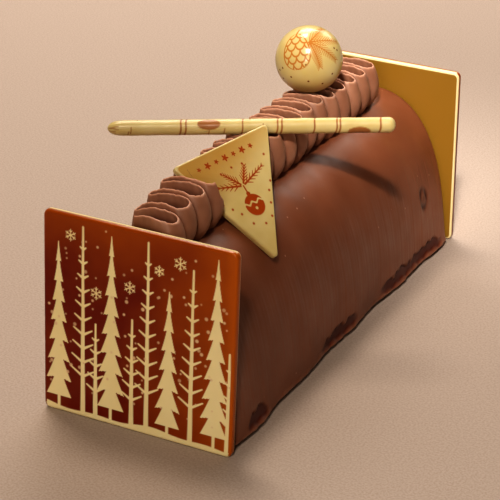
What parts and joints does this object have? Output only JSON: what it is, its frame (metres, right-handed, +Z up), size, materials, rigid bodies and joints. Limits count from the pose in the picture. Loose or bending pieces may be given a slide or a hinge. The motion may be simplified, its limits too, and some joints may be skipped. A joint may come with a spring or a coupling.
{
  "type": "yule log cake",
  "caption": "Uncut chocolate-glazed log cake between upright chocolate end plaques, with a piped cream ruffle carrying a chocolate ball, stick and triangle.",
  "frame": {"origin": "middle of the log's flat underside, where it rests", "axes": "+Y along the log from the front plaque to the back plaque, +Z up, +X to the right seen from the front plaque"},
  "size_m": [0.1034, 0.2335, 0.1216],
  "materials": {
    "chocolate_glaze": "satin milk chocolate glaze",
    "piped_cream": "satin whipped chocolate cream",
    "printed_chocolate": "glossy white chocolate with a brown cocoa-butter print",
    "white_chocolate": "smooth white chocolate with fine brown cocoa-butter print"
  },
  "bodies": {
    "root": {"log_cake": "chocolate_glaze", "piped_ruffle": "piped_cream", "front_plaque": "printed_chocolate", "back_plaque": "white_chocolate", "chocolate_ball": "white_chocolate", "chocolate_stick": "white_chocolate", "triangle_plaque": "white_chocolate"}
  },
  "joints": []
}
